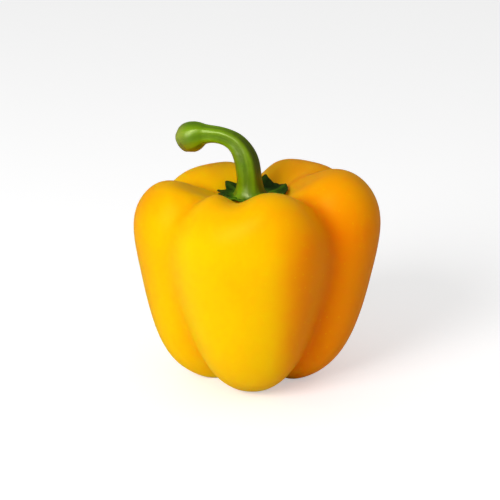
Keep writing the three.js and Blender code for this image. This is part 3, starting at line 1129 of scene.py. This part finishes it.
@dataclass
class Stalk:
    """The hooked stalk: a ribbed stem that flares at its foot and swells at its cut end."""

    path: tuple[tuple[float, float, float], ...] = (
        (-1.3, -1.5, 69.3), (-1.8, -1.4, 77.0), (-3.1, -0.5, 83.4), (-6.3, 0.7, 88.3),
        (-11.4, 2.0, 90.7), (-17.6, 4.0, 90.8), (-21.9, 5.6, 89.4), (-24.3, 6.8, 87.8))
    radii: tuple[Pair, ...] = (
        (0.0, 7.4), (0.02, 6.7), (0.048, 5.6), (0.077, 5.05), (0.153, 4.45), (0.325, 4.25), (0.478, 3.6),
        (0.593, 3.1), (0.69, 3.0), (0.778, 3.35), (0.834, 4.35), (0.888, 5.2), (0.94, 5.5),
        (0.975, 5.2), (1.0, 4.5))
    widest: float = 8.0
    ridges: int = 5
    ridge_depth: float = 0.06
    ridge_twist: float = 60.0
    dome: float = 2.1
    hollow: float = 0.3
    columns: int = 60
    rows: int = 70
    insets: tuple[float, ...] = (0.004, 0.016, 0.04, 0.08, 0.13, 0.18, 0.24, 0.32, 0.45, 0.62, 0.82)
    level: int = 1
    seed: int = 21
    bark: StalkBark = StalkBark()

    def path_curve(self, axis: Pair) -> bpy.types.Object:
        """The stalk's centreline.

        Args:
            axis: the pod's axis, which the path is measured from.

        Returns:
            A curve object through the path's points.
        """
        curve = bpy.data.curves.new("stalk_path", "CURVE")
        curve.dimensions = "3D"
        spline = curve.splines.new("POLY")
        spline.points.add(len(self.path) - 1)
        for point, (x, y, z) in zip(spline.points, self.path):
            point.co = ((x + axis[0]) * MM, (y + axis[1]) * MM, z * MM, 1.0)
        made = bpy.data.objects.new("stalk_path", curve)
        bpy.context.scene.collection.objects.link(made)
        return made

    def cage(self) -> bpy.types.Object:
        """Rings from the middle of the cut end out over its rim and down to the foot.

        Returns:
            The cage object.
        """
        rings = [(1.0, inset) for inset in reversed(self.insets)]
        rings += [(1.0 - row / (self.rows - 1), 0.0) for row in range(self.rows)]
        cage = ring_cage("bell_pepper_stalk", self.columns, len(rings))
        points = [(1.0, 1.0, 0.0)]
        points += [(along, inset, column / self.columns)
                   for along, inset in rings for column in range(self.columns)]
        points += [(0.0, 1.0, 0.0)]
        write_vectors(cage, "sweep", points)
        return cage

    def rule(self, material: bpy.types.Material) -> bpy.types.NodeTree:
        """The geometry tree that sweeps the stalk along its path.

        Args:
            material: the bark.

        Returns:
            The tree.
        """
        tree = GeometryTree("stalk_rule", {
            "Widest": 5.0, "Ridges": 5.0, "Ridge Depth": 0.05, "Ridge Twist": 0.0, "Dome": 0.0,
            "Hollow": 0.0, "Level": 1, "Seed": self.seed}, ("Path",))
        along, inset, around = tree.parts(tree.named("sweep", "FLOAT_VECTOR"))
        line = tree.add("GeometryNodeCurveSplineType", {"Curve": tree.geometry_of("Path")},
                        spline_type="CATMULL_ROM").outputs[0]
        fine = tree.add("GeometryNodeResampleCurve", {"Curve": line, "Count": 200}).outputs[0]
        sample = tree.add("GeometryNodeSampleCurve", {"Curves": fine, "Factor": along},
                          mode="FACTOR", use_all_curves=True)
        centre, tangent, normal = (sample.outputs[name] for name in ("Position", "Tangent", "Normal"))
        other = tree.vector_math("CROSS_PRODUCT", tangent, normal).outputs[0]

        profile = tree.add("ShaderNodeFloatCurve", {"Value": along})
        knots = profile.mapping.curves[0].points
        while len(knots) < len(self.radii):
            knots.new(0.5, 0.5)
        for knot, (place, radius) in zip(knots, self.radii):
            knot.location = (place, radius / self.widest)
            knot.handle_type = "AUTO_CLAMPED"
        profile.mapping.update()
        thickness = Field(tree.tree, profile.outputs[0]) * tree.size("Widest")

        # Rounded ridges that wind slowly up the stalk, with fine fibres between them.
        angle = around * math.tau
        phase = angle * tree.size("Ridges") + (along * tree.size("Ridge Twist")).math("RADIANS")
        ridge = phase.math("COSINE")
        firm = along.ramp(0.02, 0.25) * (1.0 - 0.8 * along.ramp(0.7, 0.9))
        on_ring = tree.vector(angle.math("COSINE") * 3.0, angle.math("SINE") * 3.0, along * 2.2)
        fibre = tree.noise(on_ring, 2.0, 3.0, tree.size("Seed"))
        radius = thickness * (1.0 + ridge * tree.size("Ridge Depth") * firm + (fibre - 0.5) * 0.09)
        rounding = (1.0 - (1.0 - inset) ** 2.6) ** 0.5
        dome = tree.size("Dome") * rounding - inset.ramp(0.16, 0.36) * tree.size("Hollow")
        out = tree.scaled(normal, angle.math("COSINE") * radius * (1.0 - inset) * MM)
        up = tree.scaled(other, angle.math("SINE") * radius * (1.0 - inset) * MM)
        ahead = tree.scaled(tangent, dome * along.math("GREATER_THAN", 0.5) * MM)
        place = tree.vector_math("ADD", tree.vector_math("ADD", centre, ahead).outputs[0],
                                 tree.vector_math("ADD", out, up).outputs[0]).outputs[0]
        swept = tree.moved(tree.entry.outputs["Cage"], place)
        for name, value in (("stalk_along", along), ("stalk_inset", inset),
                            ("stalk_ridge", ridge * 0.5 + 0.5), ("stalk_fibre", fibre)):
            swept = tree.store(swept, name, value)
        return tree.finish(tree.smoothed(swept, tree.size("Level")), material)

    def build(self, pod: Pod) -> bpy.types.Object:
        """Makes the finished stalk.

        Args:
            pod: the pod that it grows from.

        Returns:
            The stalk's object.
        """
        path = self.path_curve(pod.axis)
        piece = grow(self.cage(), self.rule(self.bark.material()), {
            "Widest": self.widest, "Ridges": float(self.ridges), "Ridge Depth": self.ridge_depth,
            "Ridge Twist": self.ridge_twist, "Dome": self.dome, "Hollow": self.hollow,
            "Level": self.level, "Seed": self.seed, "Path": path})
        discard(path)
        return piece


# ----------------------------------------------------------------------------------------------
# Studio
# ----------------------------------------------------------------------------------------------


@dataclass
class Camera:
    """The studio camera: in front of the pepper and a little above it."""

    target: tuple[float, float, float] = (-2.25, 2.3, 48.9)
    elevation: float = 19.3
    distance: float = 640.0
    sensor: float = 36.0
    view_width: float = 179.2

    def build(self) -> None:
        """Makes the camera and gives it to the scene."""
        data = bpy.data.cameras.new("camera")
        data.sensor_width = self.sensor
        data.lens = self.sensor * self.distance / self.view_width
        data.clip_start, data.clip_end = 0.01, 20.0
        camera = bpy.data.objects.new("camera", data)
        tilt = math.radians(self.elevation)
        back = Vector((0.0, -math.cos(tilt), math.sin(tilt)))
        camera.location = (Vector(self.target) + back * self.distance) * MM
        camera.rotation_mode = "QUATERNION"
        camera.rotation_quaternion = (-back).to_track_quat("-Z", "Y")
        bpy.context.scene.collection.objects.link(camera)
        bpy.context.scene.camera = camera


@dataclass(frozen=True)
class Softbox:
    """One soft round light that faces the pepper; it may show as gloss only."""

    name: str
    azimuth: float
    elevation: float
    distance: float
    size: float
    power: float
    lights_matt: bool = True

    def build(self, target: Vector) -> None:
        """Makes the light.

        Args:
            target: the point that it faces, in metres.
        """
        data = bpy.data.lights.new(self.name, "AREA")
        data.shape, data.size = "DISK", self.size
        data.energy = self.power
        light = bpy.data.objects.new(self.name, data)
        light.visible_diffuse = self.lights_matt
        turn, rise = math.radians(self.azimuth), math.radians(self.elevation)
        away = Vector((math.cos(turn) * math.cos(rise), math.sin(turn) * math.cos(rise), math.sin(rise)))
        light.location = target + away * self.distance
        light.rotation_mode = "QUATERNION"
        light.rotation_quaternion = (-away).to_track_quat("-Z", "Y")
        bpy.context.scene.collection.objects.link(light)


@dataclass
class Studio:
    """Pale floor, white surroundings that are dimmed in reflections, and soft lights."""

    camera: Camera
    floor_half: float = 3.0
    floor: StudioFloor = StudioFloor()
    surroundings: Colour = WHITE
    brightness: float = 0.5
    gloss_dimming: float = 0.8
    lights: tuple[Softbox, ...] = (
        Softbox("key", azimuth=-125, elevation=28, distance=0.9, size=0.45, power=6.0),
        Softbox("glint", azimuth=-112, elevation=48, distance=0.9, size=0.3, power=5.0, lights_matt=False),
    )

    def build(self) -> None:
        """Makes the floor, the surroundings, the lights and the camera."""
        half = self.floor_half
        mesh = bpy.data.meshes.new("studio_floor")
        corners = [(-half, -half, 0), (half, -half, 0), (half, half, 0), (-half, half, 0)]
        mesh.from_pydata(corners, [], [(0, 1, 2, 3)])
        mesh.materials.append(self.floor.material())
        floor = bpy.data.objects.new("studio_floor", mesh)
        bpy.context.scene.collection.objects.link(floor)
        world = bpy.data.worlds.new("surroundings")
        world.use_nodes = True
        air = Tree(world.node_tree)
        background = world.node_tree.nodes["Background"]
        background.inputs["Color"].default_value = (*self.surroundings, 1.0)
        mirrored = air.field("ShaderNodeLightPath", output="Is Glossy Ray")
        strength = self.brightness * (1.0 - self.gloss_dimming * mirrored)
        plug(air.tree, background.inputs["Strength"], strength)
        bpy.context.scene.world = world
        bpy.context.scene.view_settings.view_transform = "Standard"
        target = Vector(self.camera.target) * MM
        for light in self.lights:
            light.build(target)
        self.camera.build()


def main() -> None:
    """Builds the pepper and its studio, and writes how big the pepper came out."""
    logging.basicConfig(level=logging.INFO, format="%(name)s: %(message)s")
    Studio(Camera()).build()
    pod = Pod()
    fruit = pod.build()
    calyx = Calyx().build(pod, fruit)
    stalk = Stalk().build(pod)
    hand_in(fruit, "fruit")
    hand_in(calyx, "calyx")
    hand_in(stalk, "stem")


if __name__ == "__main__":
    main()
